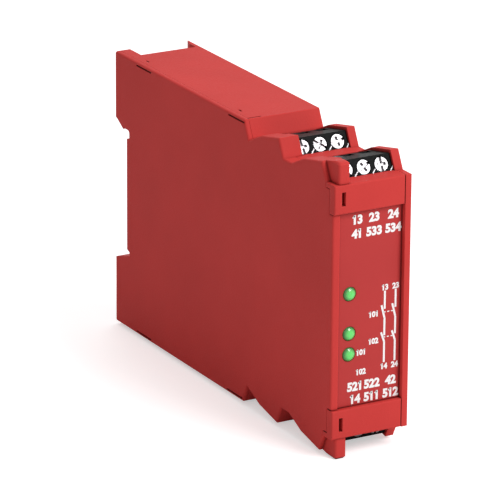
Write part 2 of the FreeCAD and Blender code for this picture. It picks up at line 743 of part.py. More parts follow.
def cover_slits():
    """The dark slits in the outer face where the snap hooks of the housing show."""
    tools = []
    for start_y in snap_starts():
        high_z = HEIGHT - SLIT_DROP
        tools.append(
            block(
                NEAR_X,
                NEAR_X + SLIT_DEPTH,
                start_y,
                start_y + SNAP_LENGTH,
                high_z - SLIT_WIDTH,
                high_z,
            )
        )
    return tools


def make_side_cover():
    """The snapped-on side: a plate, the near front rail, the jambs beside the tiers, two posts."""
    plate = prism(side_outline(NEAR_RAIL_SETBACK), NEAR_X, COVER_INNER_X)
    plate = round_hook(plate)

    def is_rim(edge):
        a, b = edge.Vertexes[0].Point, edge.Vertexes[-1].Point
        on_face = abs(a.x - NEAR_X) < TOUCH and abs(b.x - NEAR_X) < TOUCH
        in_front = max(a.y, b.y) < SEAT_Y - HOOK_RELIEF
        on_top = min(a.z, b.z) > HEIGHT - TOUCH or max(a.z, b.z) < TOUCH
        return on_face and (in_front or on_top) and edge.Length > 2 * COVER_EDGE_RADIUS

    plate = rounded(plate, COVER_EDGE_RADIUS, is_rim)
    rail = block(
        COVER_INNER_X,
        RAIL_NEAR_X,
        NEAR_RAIL_SETBACK,
        PLATE_BACK_Y,
        HEIGHT - CAP_LOW_Z,
        CAP_LOW_Z,
    )
    jamb = prism(jamb_outline(), COVER_INNER_X, BAY_NEAR_X - SEAM)
    lips = [jamb_lip(tier) for tier in range(TIER_COUNT)]
    upper = jamb.multiFuse(lips + [make_post()])
    pads = board_bosses(COVER_INNER_X, BOARD_NEAR_X)
    cover = plate.multiFuse([rail, upper, flip(upper)] + pads)
    slits = cover_slits()
    return cut_all(cover, slits + [flip(slit) for slit in slits])


def jamb_lip(tier):
    """The thin lip of a jamb that reaches over the edge of its terminal block."""
    foot = tier_y(tier)
    tip_y = foot + FACE_SETBACK
    crest_y = tip_y + CREST_LENGTH
    outer = [
        (foot, SHELF_Z),
        (tip_y, HEIGHT),
        (crest_y, HEIGHT - CREST_DROP),
        (foot + TIER_LENGTH, SHELF_Z),
    ]
    start_x = BAY_NEAR_X - 2 * SEAM
    lip = prism(outer, start_x, BAY_NEAR_X + JAMB_LIP)
    lip = lip.common(block(-WIDTH, WIDTH, 0, foot + JAMB_LIP_LENGTH, 0, HEIGHT))
    lip = lip.fuse(prism(outer, start_x, BAY_NEAR_X + CREST_LIP))
    room = prism(block_outline(tier, BLOCK_CLEARANCE / 2), -WIDTH, WIDTH)
    behind = block(-WIDTH, WIDTH, foot + TIER_LENGTH - BLOCK_REAR_MARGIN, DEPTH, 0, HEIGHT)
    return lip.cut([room, behind])


# ---------------------------------------------------------------- front pieces
def make_cap():
    """The upper front cap: a hollow bar with a flange over the front ledge and a pry slot."""
    far_x = RAIL_FAR_X - SEAM
    body = block(NEAR_X, far_x, 0, PLATE_BACK_Y, CAP_LOW_Z + SEAM, SHELF_Z)

    def is_outer(edge):
        a, b = edge.Vertexes[0].Point, edge.Vertexes[-1].Point
        return abs(a.y) < TOUCH and abs(b.y) < TOUCH

    body = rounded(body, CAP_EDGE_RADIUS, is_outer)
    hollow = block(
        NEAR_X + CAP_WALL,
        far_x - CAP_WALL,
        CAP_WALL,
        PLATE_BACK_Y + OVERCUT,
        CAP_LOW_Z + CAP_WALL,
        SHELF_Z - CAP_WALL,
    )
    flange = block(NEAR_X, far_x, CAP_WALL, FRONT_LEDGE, SHELF_Z - CAP_WALL, SHELF_Z)
    slot_x = NEAR_X + CAP_SLOT_INSET
    slot_z = SHELF_Z - CAP_SLOT_DROP
    low_z = slot_z - CAP_SLOT_HEIGHT
    slot = block(slot_x, slot_x + CAP_SLOT_WIDTH, 0, CAP_WALL + OVERCUT, low_z, slot_z)
    return body.fuse(flange).cut([hollow, slot])


def make_front_plate():
    """The recessed plate between the caps, with a hole for each lamp."""
    plate = block(
        RAIL_NEAR_X + PLATE_CLEARANCE,
        RAIL_FAR_X - PLATE_CLEARANCE,
        PLATE_RECESS,
        PLATE_BACK_Y,
        HEIGHT - CAP_LOW_Z + PLATE_CLEARANCE,
        CAP_LOW_Z - PLATE_CLEARANCE,
    )
    hole_size = LAMP_DIAMETER + 2 * LAMP_CLEARANCE
    holes = [rod(Vector(LAMP_X, 0, z), Vector(LAMP_X, DEPTH, z), hole_size) for z in LAMP_HEIGHTS]
    return cut_all(plate, holes)


def make_lamp(height):
    """A round lamp with a bevelled front, its foot on the lamp board."""
    tip_y = PLATE_RECESS - LAMP_PROUD
    sizes = [
        (tip_y, LAMP_TIP_DIAMETER),
        (PLATE_RECESS, LAMP_DIAMETER),
        (LAMP_BOARD_Y, LAMP_DIAMETER),
    ]
    outline = [Vector(0, tip_y, 0)] + [Vector(size / 2, y, 0) for y, size in sizes]
    outline += [Vector(0, LAMP_BOARD_Y, 0), Vector(0, tip_y, 0)]
    lamp = Part.Face(Part.makePolygon(outline)).revolve(Vector(0, 0, 0), Vector(0, 1, 0), 360)
    lamp.translate(Vector(LAMP_X, 0, height))
    return lamp


def make_lamp_board():
    """The small board across the front that carries the lamps."""
    return block(
        BOARD_FAR_X,
        BOARD_FAR_X + LAMP_BOARD_WIDTH,
        LAMP_BOARD_Y,
        LAMP_BOARD_Y + LAMP_BOARD_THICKNESS,
        min(LAMP_HEIGHTS) - LAMP_BOARD_MARGIN,
        max(LAMP_HEIGHTS) + LAMP_BOARD_MARGIN,
    )


# ---------------------------------------------------------------- rail latch
def latch_middle_x():
    """The middle of the latch across the module."""
    return (RIB_INNER_X + EAR_INNER_X - GUIDE_WIDTH) / 2


def make_latch():
    """The sprung foot: a grooved slide with a nose for the rail, a spring window, a pry slot."""
    near_x = RIB_INNER_X + LATCH_CLEARANCE
    far_x = EAR_INNER_X - GUIDE_WIDTH - LATCH_CLEARANCE
    front_y = SEAT_Y + LATCH_CLEARANCE
    back_y = front_y + LATCH_THICKNESS
    shoulder_z = RAIL_LOW_Z - LATCH_SHOULDER_DROP
    nose_z = RAIL_LOW_Z + LATCH_NOSE_HEIGHT
    nose_y = front_y + LATCH_NOSE_SETBACK
    outline = [
        (front_y, LATCH_BOTTOM_Z),
        (front_y, shoulder_z),
        (nose_y, shoulder_z),
        (nose_y, nose_z),
        (nose_y + LATCH_NOSE_TIP, nose_z),
        (back_y, nose_z - LATCH_LEAD_HEIGHT),
        (back_y, LATCH_BOTTOM_Z),
    ]
    slide = prism(outline, near_x, far_x)
    tongue_y = SEAT_Y + TONGUE_SETBACK + LATCH_CLEARANCE
    tongues = block(
        near_x - TONGUE_WIDTH,
        far_x + TONGUE_WIDTH,
        tongue_y,
        tongue_y + TONGUE_THICKNESS,
        LATCH_BOTTOM_Z,
        GUIDE_HEIGHT,
    )
    middle_x = latch_middle_x()
    window = block(
        middle_x - WINDOW_WIDTH / 2,
        middle_x + WINDOW_WIDTH / 2,
        SEAT_Y,
        DEPTH,
        WINDOW_BOTTOM_Z,
        WINDOW_BOTTOM_Z + WINDOW_HEIGHT,
    )
    pry_y = (front_y + back_y - PRY_SLOT_DEPTH) / 2
    pry = block(
        middle_x - PRY_SLOT_WIDTH / 2,
        middle_x + PRY_SLOT_WIDTH / 2,
        pry_y,
        pry_y + PRY_SLOT_DEPTH,
        0,
        LATCH_BOTTOM_Z + PRY_SLOT_HEIGHT,
    )
    return slide.fuse(tongues).cut([window, pry])


def make_latch_spring():
    """A strip of spring steel folded to and fro, between the peg and the top of the window."""
    low_z = WINDOW_BOTTOM_Z + PEG_SIDE_GAP + PEG_HEIGHT
    rise = (SPRING_LENGTH - SPRING_STRIP) / SPRING_FOLD_COUNT
    climb = [low_z + fold * rise for fold in range(SPRING_FOLD_COUNT + 1)]
    heights = [low_z] + climb + [climb[-1]]
    middle_x = latch_middle_x()
    start_y = SEAT_Y + LATCH_CLEARANCE + (LATCH_THICKNESS - SPRING_DEPTH) / 2
    legs = []
    for leg, (start_z, end_z) in enumerate(zip(heights, heights[1:])):
        side = SPRING_WIDTH / 2 if leg % 2 else -SPRING_WIDTH / 2
        corners = [
            Vector(middle_x + side, start_y, start_z),
            Vector(middle_x - side, start_y, end_z),
            Vector(middle_x - side, start_y, end_z + SPRING_STRIP),
            Vector(middle_x + side, start_y, start_z + SPRING_STRIP),
        ]
        face = Part.Face(Part.makePolygon(corners + corners[:1]))
        legs.append(face.extrude(Vector(0, SPRING_DEPTH, 0)))
    return legs[0].multiFuse(legs[1:]).removeSplitter()


# ---------------------------------------------------------------- circuit board and its parts
def make_board():
    """The main board, stepped round the bays, with a hole for each contact tail."""
    front_y = FRONT_INNER_Y + BOARD_FRONT_GAP
    step_y = SLANT_TOP_Y + WALL + BOARD_EDGE_GAP
    step_z = BAY_LOW_Z - BOARD_EDGE_GAP / 2
    upper = [
        (front_y, step_z),
        (step_y, step_z),
        (step_y, HEIGHT - WALL - BOARD_EDGE_GAP),
        (REAR_INNER_Y - BOARD_EDGE_GAP, HEIGHT - WALL - BOARD_EDGE_GAP),
    ]
    board = prism(upper + flip_points(upper), BOARD_NEAR_X, BOARD_FAR_X)
    tails = contact_group(0)
    for tier in range(1, TIER_COUNT):
        tails += contact_group(tier)
    return cut_all(board, tails + [flip(tail) for tail in tails])


def make_relay(side):
    """A sealed relay on the board, above or below the middle."""
    middle_z = HEIGHT / 2 + side * RELAY_SPREAD / 2
    return block(
        BOARD_FAR_X,
        FAR_INNER_X - RELAY_WALL_GAP,
        RELAY_START_Y,
        RELAY_END_Y,
        middle_z - RELAY_WIDTH / 2,
        middle_z + RELAY_WIDTH / 2,
    )


def make_capacitor(index):
    """A boxed film capacitor on the board between the relays."""
    pitch = (RELAY_END_Y - RELAY_START_Y - CAPACITOR_GAP) / CAPACITOR_COUNT
    start_y = RELAY_START_Y + CAPACITOR_GAP + index * pitch
    return block(
        BOARD_FAR_X,
        FAR_INNER_X - CAPACITOR_WALL_GAP,
        start_y,
        start_y + pitch - CAPACITOR_GAP,
        HEIGHT / 2 - CAPACITOR_WIDTH / 2,
        HEIGHT / 2 + CAPACITOR_WIDTH / 2,
    )


def make_chip(side):
    """One of the two logic chips, one for each channel."""
    middle_z = HEIGHT / 2 + side * CHIP_SPREAD / 2
    return block(
        BOARD_FAR_X,
        BOARD_FAR_X + CHIP_HEIGHT,
        CHIP_START_Y,
        CHIP_START_Y + CHIP_LENGTH,
        middle_z - CHIP_WIDTH / 2,
        middle_z + CHIP_WIDTH / 2,
    )


def contact_group(tier):
    """The contact bars of one tier."""
    return [on_pole(make_contact(pole), tier, pole) for pole in range(POLE_COUNT)]


# ---------------------------------------------------------------- write every piece
def save_tiers():
    """The blocks, contacts, screws and cages of every tier, above and below."""
    depth_names = ["front", "rear"]
    for tier in range(TIER_COUNT):
        for level, turn in (("upper", lambda shape: shape), ("lower", flip)):
            place = level + "_" + depth_names[tier]
            save("terminal_block_" + place, turn(make_terminal_block(tier)))
            bars = Part.makeCompound([turn(bar) for bar in contact_group(tier)])
            save("contact_bars_" + place, bars)
            for pole in range(POLE_COUNT):
                number = "_%d" % (pole + 1)
                screw = make_screw(SCREW_ANGLES[tier][pole])
                save("screw_" + place + number, turn(on_pole(screw, tier, pole)))
                save("cage_" + place + number, turn(on_pole(make_cage(), tier, pole)))


def main():
    os.makedirs("parts", exist_ok=True)
    save("housing", make_housing())
    save("side_cover", make_side_cover())
    cap = make_cap()
    save("upper_front_cap", cap)
    save("lower_front_cap", flip(cap))
    save("front_plate", make_front_plate())
    save("rail_latch", make_latch())
    save("latch_spring", make_latch_spring())
    save_tiers()
    save("main_board", make_board())
    save("lamp_board", make_lamp_board())
    for name, height in zip(("power", "channel_one", "channel_two"), LAMP_HEIGHTS):
        save("lamp_" + name, make_lamp(height))
    for name, side in (("upper", 1), ("lower", -1)):
        save("switching_relay_" + name, make_relay(side))
        save("logic_chip_" + name, make_chip(side))
    for index in range(CAPACITOR_COUNT):
        save("capacitor_%d" % (index + 1), make_capacitor(index))


main()
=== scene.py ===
import json
import math

import bmesh
import bpy
from bpy.props import FloatProperty, FloatVectorProperty, PointerProperty
from bpy.types import Operator, Panel, PropertyGroup
from mathutils import Matrix, Vector


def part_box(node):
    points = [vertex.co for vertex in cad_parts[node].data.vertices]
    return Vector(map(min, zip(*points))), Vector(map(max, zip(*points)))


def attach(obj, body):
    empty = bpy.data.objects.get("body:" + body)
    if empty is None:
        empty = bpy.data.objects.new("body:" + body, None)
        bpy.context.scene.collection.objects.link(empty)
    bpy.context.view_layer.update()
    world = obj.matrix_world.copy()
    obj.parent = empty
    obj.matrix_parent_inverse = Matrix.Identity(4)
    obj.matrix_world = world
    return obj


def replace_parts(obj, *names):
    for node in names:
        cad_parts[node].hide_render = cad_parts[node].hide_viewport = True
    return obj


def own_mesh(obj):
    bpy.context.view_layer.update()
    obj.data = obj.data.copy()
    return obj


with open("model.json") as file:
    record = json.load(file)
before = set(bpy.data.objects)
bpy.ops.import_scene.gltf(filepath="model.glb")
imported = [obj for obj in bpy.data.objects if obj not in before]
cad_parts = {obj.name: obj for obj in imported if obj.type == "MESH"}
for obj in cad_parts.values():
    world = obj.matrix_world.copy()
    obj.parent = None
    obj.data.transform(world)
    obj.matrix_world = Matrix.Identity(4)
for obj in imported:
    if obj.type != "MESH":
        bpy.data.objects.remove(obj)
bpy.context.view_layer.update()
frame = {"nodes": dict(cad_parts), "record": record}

bl_info = {
    "name": "Safety relay looks",
    "version": (1, 0, 0),
    "blender": (4, 5, 0),
    "location": "3D View > Sidebar > Safety relay",
    "description": "Finishes, print and stage for a slim rail-mounted safety relay",
    "category": "Object",
}

MM = 0.001
BODY = "module"

# Nearly all of the noise lies between these two values.
NOISE_LOW, NOISE_HIGH = 0.3, 0.7
# How far a bevelled normal turns from a flat face: its cosine on a face and on a sharp edge.
FACE_TURN, EDGE_TURN = 0.995, 0.88
# The share of open sky that a closed gap and an open face see.
GAP_SKY, OPEN_SKY = 0.35, 0.95


# ---------------------------------------------------------------- colours and patterns
def linear(code):
    """An sRGB hex value as the linear colour that a shader takes."""
    channels = [int(code[start:start + 2], 16) / 255 for start in (1, 3, 5)]
    turned = [c / 12.92 if c <= 0.04045 else ((c + 0.055) / 1.055) ** 2.4 for c in channels]
    return (*turned, 1.0)


def linear_of(prop):
    """A colour property as a four-part colour."""
    return (*prop, 1.0)


def shade(color, factor):
    """A linear colour made lighter or darker by a factor."""
    return (*[min(1.0, channel * factor) for channel in color[:3]], 1.0)


def add_node(tree, kind, settings=None, inputs=None):
    """Add one node, set its settings, and set or link its inputs."""
    node = tree.nodes.new("ShaderNode" + kind)
    for name, value in (settings or {}).items():
        setattr(node, name, value)
    for name, value in (inputs or {}).items():
        if isinstance(value, bpy.types.NodeSocket):
            tree.links.new(value, node.inputs[name])
        else:
            node.inputs[name].default_value = value
    return node


def start_material(name):
    """An empty node material, and its tree."""
    material = bpy.data.materials.new(name)
    material.use_nodes = True
    material.node_tree.nodes.clear()
    return material, material.node_tree


def speckle(tree, size, low, high, detail=3.0, stretch=(1.0, 1.0, 1.0)):
    """A cloudy pattern with spots of about a given size, that runs from low to high."""
    place = add_node(tree, "TexCoord")
    sized = add_node(
        tree,
        "Mapping",
        inputs={"Vector": place.outputs["Object"], "Scale": [part / size for part in stretch]},
    )
    cloud = add_node(
        tree,
        "TexNoise",
        inputs={"Vector": sized.outputs["Vector"], "Scale": 1.0, "Detail": detail},
    )
    span = {"From Min": NOISE_LOW, "From Max": NOISE_HIGH, "To Min": low, "To Max": high}
    return add_node(
        tree, "MapRange", inputs={"Value": cloud.outputs["Fac"], **span}
    ).outputs["Result"]


def softened_edges(tree, radius):
    """The surface direction with soft edges, and 1 on such an edge and 0 on a flat face."""
    soft = add_node(tree, "Bevel", {"samples": 6}, {"Radius": radius}).outputs["Normal"]
    flat = add_node(tree, "NewGeometry").outputs["Normal"]
    turn = add_node(tree, "VectorMath", {"operation": "DOT_PRODUCT"}, {0: soft, 1: flat})
    span = {"From Min": FACE_TURN, "From Max": EDGE_TURN, "To Min": 0.0, "To Max": 1.0}
    edge = add_node(tree, "MapRange", inputs={"Value": turn.outputs["Value"], **span})
    return soft, edge.outputs["Result"]


def in_the_open(tree, reach):
    """1 on an open surface, falling to 0 in a gap that is narrower than the reach: the mask for
    painted shade.
    """
    hidden = add_node(tree, "AmbientOcclusion", {"samples": 8}, {"Distance": reach})
    span = {"From Min": GAP_SKY, "From Max": OPEN_SKY, "To Min": 0.0, "To Max": 1.0}
    return add_node(
        tree, "MapRange", inputs={"Value": hidden.outputs["AO"], **span}
    ).outputs["Result"]


# ---------------------------------------------------------------- kinds of finish
def moulded_plastic(name, color, grain, depth, roughness, edge, ior, gloss):
    """Injection-moulded thermoplastic: an even colour, a fine grain and softened edges, with a
    painted highlight that makes the edges paler and painted shade that darkens narrow gaps.
    """
    material, tree = start_material(name)
    # The flow of the melt leaves clouds about two centimetres wide that hardly show.
    melt = speckle(tree, 22 * MM, 0.0, 1.0)
    even = add_node(
        tree,
        "Mix",
        {"data_type": "RGBA"},
        {"Factor": melt, "A": shade(color, 0.95), "B": shade(color, 1.04)},
    )
    # Painted highlight: the base colour turns a quarter paler along the softened edges.
    soft, painted_edge_highlight = softened_edges(tree, edge)
    edge_highlighted = add_node(
        tree,
        "Mix",
        {"data_type": "RGBA"},
        {"Factor": painted_edge_highlight, "A": even.outputs["Result"], "B": shade(color, 1.25)},
    )
    # Painted shade: gaps, corners and recesses narrower than 0.8 mm darken towards 0.3 of the
    # colour.
    painted_gap_shade = in_the_open(tree, 0.8 * MM)
    base = add_node(
        tree,
        "Mix",
        {"data_type": "RGBA"},
        {"Factor": painted_gap_shade, "A": shade(color, 0.3), "B": edge_highlighted.outputs["Result"]},
    )
    sparks = speckle(tree, grain, 0.0, 1.0, 4.0)
    bump = add_node(
        tree, "Bump", inputs={"Strength": 0.5, "Distance": depth, "Height": sparks, "Normal": soft}
    )
    surface = add_node(
        tree,
        "BsdfPrincipled",
        inputs={
            "Base Color": base.outputs["Result"],
            "Roughness": speckle(tree, grain, roughness - 0.05, roughness + 0.06, 4.0),
            "IOR": ior,
            "Specular IOR Level": gloss,
            "Normal": bump.outputs["Normal"],
        },
    )
    add_node(tree, "OutputMaterial", inputs={"Surface": surface.outputs["BSDF"]})
    return material


def plated_metal(name, color, roughness, mark, depth):
    """Plated steel or brass: bright, with fine tumbling marks, duller patches and painted shade in
    recesses.
    """
    material, tree = start_material(name)
    # Barrel plating leaves duller patches of about a millimetre.
    dull = speckle(tree, 1.1 * MM, 0.0, 1.0)
    patchy = add_node(
        tree,
        "Mix",
        {"data_type": "RGBA"},
        {"Factor": dull, "A": shade(color, 0.84), "B": shade(color, 1.02)},
    )
    # Painted shade: slots and recesses narrower than 0.7 mm darken towards 0.6 of the colour.
    painted_recess_shade = in_the_open(tree, 0.7 * MM)
    base = add_node(
        tree,
        "Mix",
        {"data_type": "RGBA"},
        {"Factor": painted_recess_shade, "A": shade(color, 0.6), "B": patchy.outputs["Result"]},
    )
    soft, _ = softened_edges(tree, 0.12 * MM)
    marks = speckle(tree, mark, 0.0, 1.0, 5.0, (1.0, 1.0, 0.25))
    bump = add_node(
        tree, "Bump", inputs={"Strength": 0.6, "Distance": depth, "Height": marks, "Normal": soft}
    )
    surface = add_node(
        tree,
        "BsdfPrincipled",
        inputs={
            "Base Color": base.outputs["Result"],
            "Metallic": 1.0,
            "Roughness": speckle(tree, 1.1 * MM, roughness + 0.1, roughness - 0.06),
            "Normal": bump.outputs["Normal"],
        },
    )
    add_node(tree, "OutputMaterial", inputs={"Surface": surface.outputs["BSDF"]})
    return material


# ---------------------------------------------------------------- sizes and colours
def colour(name, description, code):
    """A colour property with its default from an sRGB hex value."""
    return FloatVectorProperty(
        name=name,
        description=description,
        subtype="COLOR",
        size=3,
        min=0.0,
        max=1.0,
        default=linear(code)[:3],
    )


def length(name, description, default):
    """A length property in metres."""
    return FloatProperty(name=name, description=description, unit="LENGTH", default=default)


def number(name, description, default):
    """A plain number property."""
    return FloatProperty(name=name, description=description, default=default)


class RelayColours(PropertyGroup):
    """The colours of the relay's materials."""

    housing: colour("Housing", "Red moulded housing, side cover and caps", "#CE413E")
    plate: colour("Front plate", "Red film of the recessed front plate", "#BE3D3C")
    block: colour("Terminal block", "Black moulded terminal blocks", "#090A0B")
    screw: colour("Screws", "Nickel plate of the terminal screws", "#B2AFB2")
    cage: colour("Clamp cages", "Zinc plate of the clamp cages", "#B9BBBE")
    contact: colour("Contact bars", "Tinned brass of the contact bars", "#C9AE78")
    latch: colour("Rail latch", "Dark moulding of the rail latch", "#2B2C2E")
    spring: colour("Spring", "Rolled spring steel", "#A7A9AC")
    lens: colour("Lamps", "Green diffused lamp lenses", "#57BE5C")
    mask: colour("Solder mask", "Green solder mask of the boards", "#1E5B34")
    relay_case: colour("Relay cases", "Dark cases of the switching relays", "#33353A")
    chip: colour("Chips", "Black chip mouldings", "#1D1D1F")
    capacitor: colour("Capacitors", "Dark blue capacitor cases", "#23273A")
    ink: colour("Print", "White screen ink", "#FFFFFF")


class RelaySizes(PropertyGroup):
    """The sizes of the print and of the drawn edges."""

    edge_radius: length("Edge radius", "Softened edge of the red mouldings", 0.4 * MM)
    grain_size: length("Grain", "Spacing of the moulded grain, as coarse as it shows", 0.45 * MM)
    digit_height: length("Digit height", "Height of the terminal numbers", 2.5 * MM)
    small_digit_height: length("Small digits", "Height of the diagram's numbers", 1.6 * MM)
    digit_stroke: number("Digit stroke", "Thickening of the digits, as a share of their size", 0.05)
    line_width: length("Line width", "Width of the diagram's lines", 0.55 * MM)
    ink_relief: length("Ink relief", "Height of the ink above the plate", 0.03 * MM)


class RelayStage(PropertyGroup):
    """The camera and the light."""

    azimuth: number("Azimuth", "Camera azimuth, degrees", -29.7)
    elevation: number("Elevation", "Camera height, degrees", 18.34)
    roll: number("Roll", "Camera roll, degrees", 0.46)
    distance: length("Distance", "Camera to the middle of the relay", 1.1473)
    lens: number("Lens", "Focal length, millimetres", 312.7)
    key_power: number("Key", "Power of the key lamp, watts", 7.3)
    fill: number("Fill", "Strength of the surrounding light", 0.33)


# ---------------------------------------------------------------- helpers for pieces
def nodes_named(*starts):
    """The CAD pieces whose names start with any of these words."""
    return [piece for name, piece in frame["nodes"].items() if name.startswith(starts)]


def joints_named(start):
    """The record's joints whose names start with this word."""
    joints = frame["record"]["behaviour"]["joints"]
    return [joint for joint in joints if joint["name"].startswith(start)]


def dress(pieces, material):
    """Give the pieces one material all over."""
    for piece in pieces:
        piece.data.materials.clear()
        piece.data.materials.append(material)


def mount(name, shape, material):
    """Turn a shape into a piece that rides on the relay, with its finish and material slot."""
    mesh = bpy.data.meshes.new(name)
    shape.to_mesh(mesh)
    shape.free()
    mesh.materials.append(material)
    piece = bpy.data.objects.new(name, mesh)
    bpy.context.scene.collection.objects.link(piece)
    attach(piece, BODY)
    return piece


# ---------------------------------------------------------------- housing, plate and terminals
class RELAY_OT_housing(Operator):
    """Finish the red housing, side cover and front caps"""

    bl_idname = "relay.housing"
    bl_label = "Finish the housing"

    def execute(self, context):
        scene = context.scene
        # Flame-retardant polyamide, moulded in a spark-eroded tool: an even red, satin and never
        # shiny. The real grain of 0.1 mm is drawn at 0.45 mm so that it shows.
        polyamide = moulded_plastic(
            "housing_polyamide",
            linear_of(scene.relay_colours.housing),
            grain=scene.relay_sizes.grain_size,
            depth=0.05 * MM,
            roughness=0.5,
            edge=scene.relay_sizes.edge_radius,
            ior=1.53,
            gloss=0.05,
        )
        dress(nodes_named("housing", "side_cover", "upper_front_cap", "lower_front_cap"), polyamide)
        return {"FINISHED"}


class RELAY_OT_front_plate(Operator):
    """Finish the recessed front plate"""

    bl_idname = "relay.front_plate"
    bl_label = "Finish the front plate"

    def execute(self, context):
        # Polycarbonate film, rolled smooth: a slightly deeper red with a soft sheen, hardly grainy.
        film = moulded_plastic(
            "plate_polycarbonate_film",
            linear_of(context.scene.relay_colours.plate),
            grain=0.6 * MM,
            depth=0.02 * MM,
            roughness=0.42,
            edge=0.08 * MM,
            ior=1.58,
            gloss=0.1,
        )
        dress(nodes_named("front_plate"), film)
        return {"FINISHED"}


class RELAY_OT_terminals(Operator):
    """Finish the terminal blocks, screws, clamp cages and contact bars"""

    bl_idname = "relay.terminals"
    bl_label = "Finish the terminals"

    def execute(self, context):
        colours = context.scene.relay_colours
        # Glass-filled polyamide, moulded: near black, with a faint grey sheen from its fibres.
        block = moulded_plastic(
            "block_glass_filled_polyamide",
            linear_of(colours.block),
            grain=0.5 * MM,
            depth=0.05 * MM,
            roughness=0.4,
            edge=0.2 * MM,
            ior=1.55,
            gloss=0.05,
        )
        dress(nodes_named("terminal_block"), block)
        # Nickel-plated steel, tumbled in a barrel: bright, with soft patches from handling.
        nickel = plated_metal(
            "screw_nickel_plate",
            linear_of(colours.screw),
            roughness=0.3,
            mark=0.3 * MM,
            depth=0.03 * MM,
        )
        dress(nodes_named("screw_"), nickel)
        # Zinc-plated strip steel, stamped and folded: duller and bluer than the screws.
        zinc = plated_metal(
            "cage_zinc_plate",
            linear_of(colours.cage),
            roughness=0.36,
            mark=0.4 * MM,
            depth=0.03 * MM,
        )
        dress(nodes_named("cage_"), zinc)
        # Tinned brass strip, stamped: warm under a thin grey skin.
        brass = plated_metal(
            "contact_tinned_brass",
            linear_of(colours.contact),
            roughness=0.34,
            mark=0.5 * MM,
            depth=0.02 * MM,
        )
        dress(nodes_named("contact_bars"), brass)
        return {"FINISHED"}


class RELAY_OT_glint_bars(Operator):
    """Set a small bright steel bar beside each terminal screw, a painted glint on the lower-right
    rim of its well
    """

    bl_idname = "relay.clips"
    bl_label = "Set the painted glint bars"

    # From the middle of a screw head: across, and down the block's face.
    across_gap = 2.6 * MM
    down_gap = 1.55 * MM
    glint_bar_length = 1.7 * MM
    glint_bar_width = 0.36 * MM
    glint_bar_height = 0.3 * MM
    edge_radius = 0.08 * MM
    lean = math.radians(50)
    # How far the face of a screw head lies below the block's face.
    head_sink = 0.1 * MM

    def glint_bar_matrix(self, joint):
        """A unit cube's place and size as the glint bar at the lower right of one screw."""
        inward = Vector(joint["axis"]).normalized()
        across = Vector((1, 0, 0))
        up = across.cross(inward) * (1 if inward.z < 0 else -1)
        face = Vector(joint["pos_m"]) - self.head_sink * inward
        centre = face + self.across_gap * across - self.down_gap * up
        along = math.cos(self.lean) * across + math.sin(self.lean) * up
        axes = Matrix((along, inward, along.cross(inward))).transposed().to_4x4()
        size = Matrix.Diagonal((self.glint_bar_length, self.glint_bar_height, self.glint_bar_width, 1))
        return Matrix.Translation(centre) @ axes @ size

    def execute(self, context):
        shape = bmesh.new()
        for joint in joints_named("screw_turn"):
            glint_bar = bmesh.ops.create_cube(shape, size=1.0, matrix=self.glint_bar_matrix(joint))
            edges = {edge for corner in glint_bar["verts"] for edge in corner.link_edges}
            bmesh.ops.bevel(
                shape, geom=list(edges), offset=self.edge_radius, segments=2, affect="EDGES"
            )
        # Painted glint: bars with the screws' nickel plate, as bright as the screws and with fine
        # marks, standing in for the highlight on each well's rim.
        nickel = plated_metal(
            "glint_bar_nickel_plate",
            linear_of(context.scene.relay_colours.screw),
            roughness=0.3,
            mark=0.3 * MM,
            depth=0.02 * MM,
        )
        mount("glint_bars", shape, nickel)
        return {"FINISHED"}


# ---------------------------------------------------------------- lamps
def lens_epoxy(color):
    """Diffused epoxy, cast: milky green with a hard, glossy skin, glowing faintly at its crown from
    its lit core, with painted light on the crown and painted shade at the rim.
    """
    material, tree = start_material("lamp_diffused_epoxy")
    # Painted light and shade: the base colour runs from dark at the rim to pale where the dome
    # faces forward; the same crown also glows faintly from the lit core.
    facing = add_node(
        tree, "SeparateXYZ", inputs={"Vector": add_node(tree, "NewGeometry").outputs["Normal"]}
    )
    rim, top = -0.68, -0.98
    span = {"From Min": rim, "From Max": top, "To Min": 0.0, "To Max": 1.0}
    crown_light_rim_shade = add_node(
        tree,
        "MapRange",
        {"interpolation_type": "SMOOTHSTEP"},
        {"Value": facing.outputs["Y"], **span},
    )
    tint = add_node(
        tree,
        "Mix",
        {"data_type": "RGBA"},
        {"Factor": crown_light_rim_shade.outputs["Result"], "A": shade(color, 0.45), "B": shade(color, 1.35)},
    )
    glow = add_node(
        tree,
        "MapRange",
        inputs={"Value": crown_light_rim_shade.outputs["Result"], "To Min": 0.0, "To Max": 0.15},
    )
    surface = add_node(
        tree,
        "BsdfPrincipled",
        inputs={
            "Base Color": tint.outputs["Result"],
            "Roughness": speckle(tree, 1.2 * MM, 0.12, 0.2),
            "IOR": 1.53,
            "Subsurface Weight": 0.3,
            "Subsurface Scale": 0.5 * MM,
            "Coat Weight": 0.4,
            "Coat Roughness": 0.05,
            "Emission Color": shade(color, 1.3),
            "Emission Strength": glow.outputs["Result"],
        },
    )
    add_node(tree, "OutputMaterial", inputs={"Surface": surface.outputs["BSDF"]})
    return material


def turned_shape(profile, steps=48):
    """A smooth shape turned about the Y axis from (radius, y) points."""
    shape = bmesh.new()
    rings = []
    for radius, y in profile:
        if radius == 0:
            rings.append([shape.verts.new((0, y, 0))])
            continue
        angles = [2 * math.pi * step / steps for step in range(steps)]
        rings.append(
            [shape.verts.new((radius * math.cos(a), y, radius * math.sin(a))) for a in angles]
        )
    for first, last in zip(rings, rings[1:]):
        for step in range(steps):
            after = (step + 1) % steps
            if len(first) == 1:
                shape.faces.new((first[0], last[step], last[after]))
            elif len(last) == 1:
                shape.faces.new((first[step], last[0], first[after]))
            else:
                shape.faces.new((first[step], last[step], last[after], first[after]))
    bmesh.ops.recalc_face_normals(shape, faces=shape.faces)
    for face in shape.faces:
        face.smooth = True
    return shape


